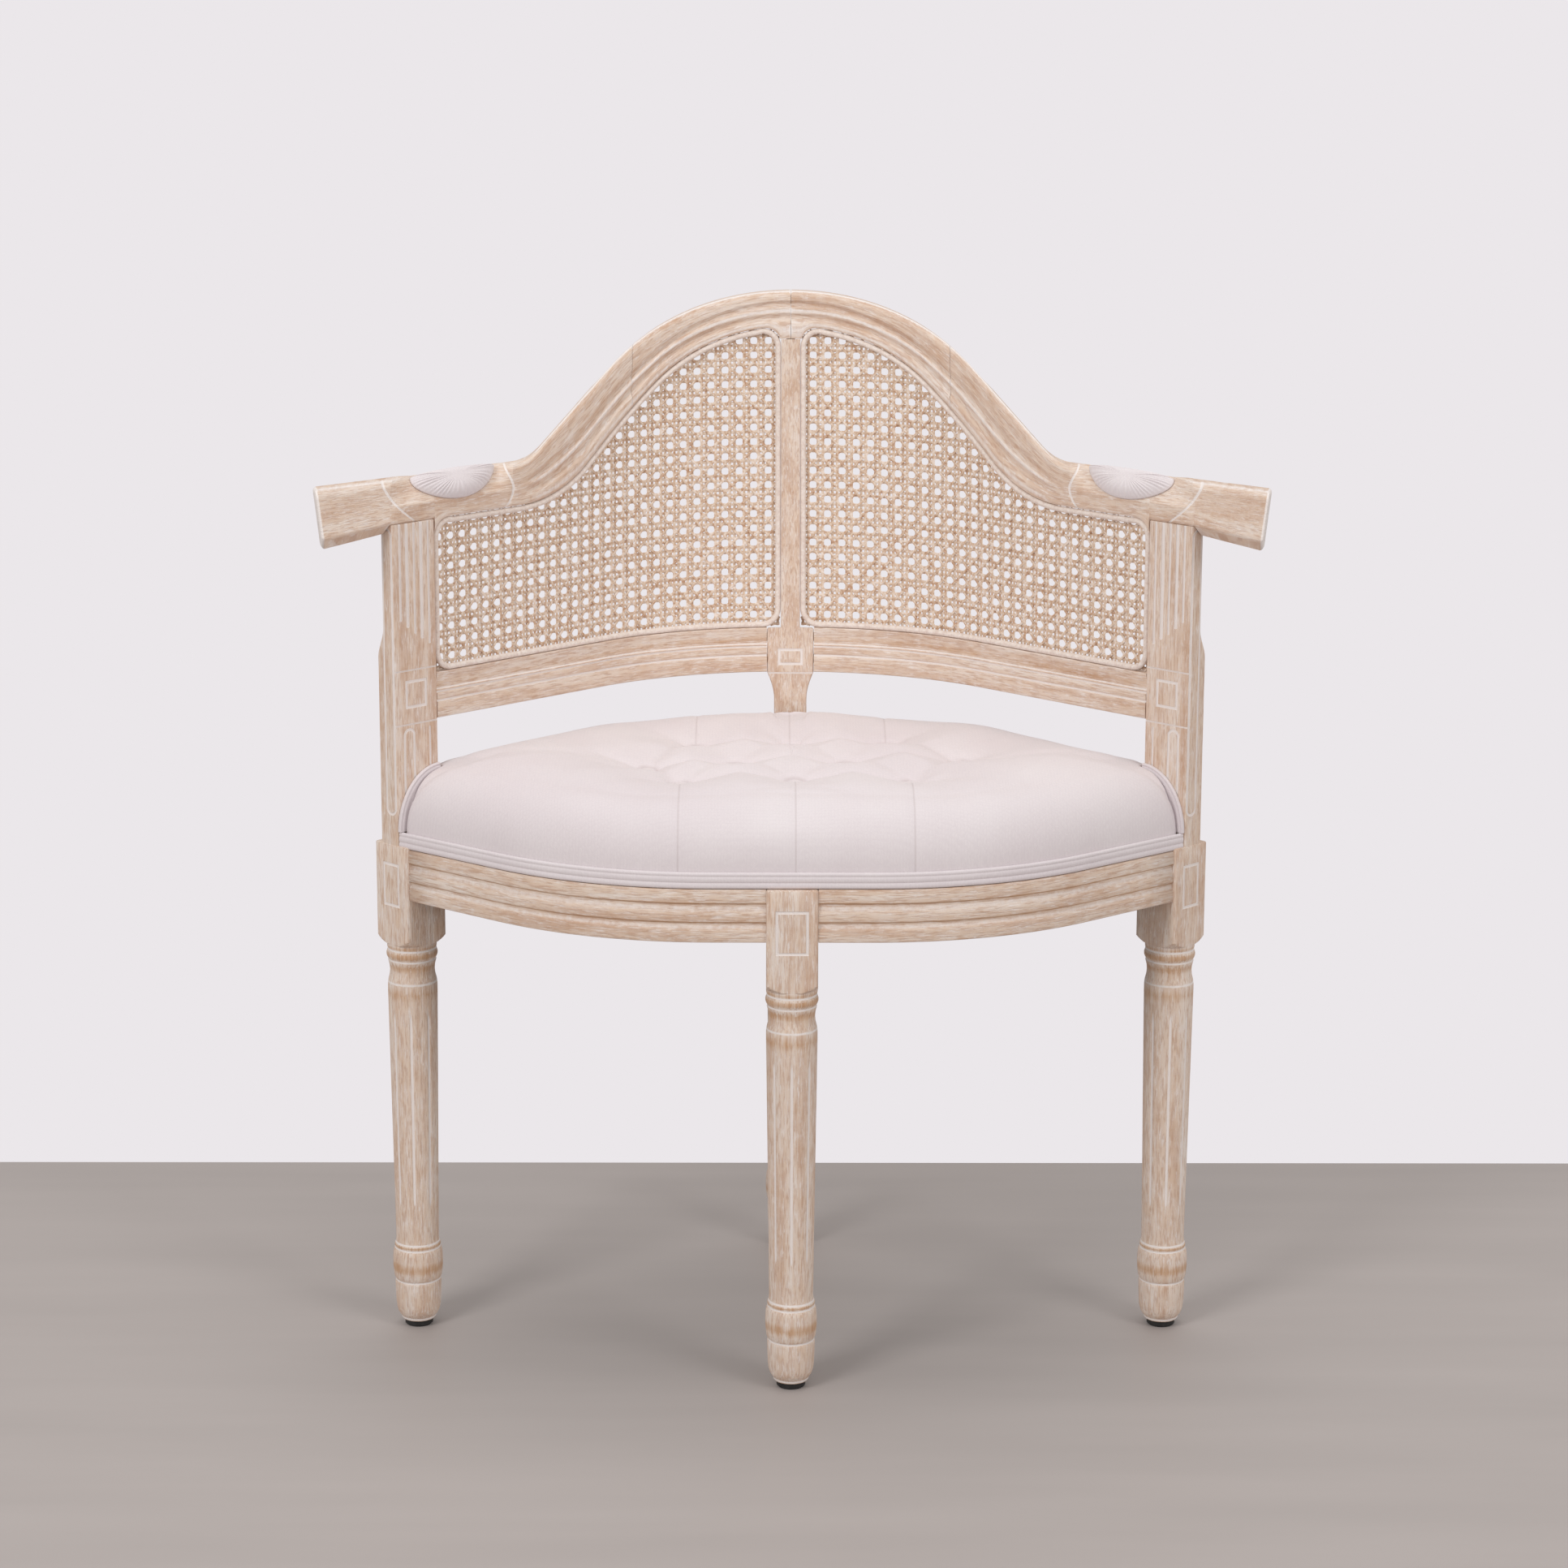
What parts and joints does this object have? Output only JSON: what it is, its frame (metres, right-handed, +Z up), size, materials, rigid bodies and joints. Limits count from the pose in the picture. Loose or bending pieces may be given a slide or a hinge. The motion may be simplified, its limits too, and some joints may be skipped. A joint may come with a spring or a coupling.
{
  "type": "corner chair",
  "caption": "Upholstered corner chair: caned wrap-around back, sweeping crest, flared arms with small pads, buttoned seat and fluted turned legs set in a diamond.",
  "frame": {"origin": "on the floor, at the middle of the chair's width and depth", "axes": "+Z up, -Y towards the front, +X towards the right seen from the front"},
  "size_m": [0.7848, 0.455, 0.869],
  "materials": {
    "limed_wood": "satin, white pigment in the pores and grooves",
    "plain_wood": "raw",
    "woven_cane": "satin",
    "linen": "matte",
    "black_cambric": "matte",
    "black_plastic": "matte",
    "steel": "zinc plated"
  },
  "bodies": {
    "root": {"front_leg": "limed_wood", "left_leg_and_post": "limed_wood", "right_leg_and_post": "limed_wood", "rear_leg_and_stile": "limed_wood", "front_left_seat_rail": "limed_wood", "front_right_seat_rail": "limed_wood", "rear_left_seat_rail": "limed_wood", "rear_right_seat_rail": "limed_wood", "lower_back_rail_left": "limed_wood", "lower_back_rail_right": "limed_wood", "crest_rail_left": "limed_wood", "crest_rail_right": "limed_wood", "arm_rail_left": "limed_wood", "arm_rail_right": "limed_wood", "front_corner_block": "plain_wood", "left_corner_block": "plain_wood", "right_corner_block": "plain_wood", "rear_corner_block": "plain_wood", "seat_board": "plain_wood", "seat_rail_dowels": "plain_wood", "back_rail_dowels": "plain_wood", "crest_dowels": "plain_wood", "cane_panel_left": "woven_cane", "cane_panel_right": "woven_cane", "cane_spline_left": "woven_cane", "cane_spline_right": "woven_cane", "seat_cushion": "linen", "tuft_buttons": "linen", "seat_welt_front": "linen", "seat_welt_rear": "linen", "post_welt_left": "linen", "post_welt_right": "linen", "arm_pad_left": "linen", "arm_pad_right": "linen", "dust_cover": "black_cambric", "front_glide": "black_plastic", "left_glide": "black_plastic", "right_glide": "black_plastic", "rear_glide": "black_plastic", "corner_block_screws": "steel", "seat_board_screws": "steel"}
  },
  "joints": []
}
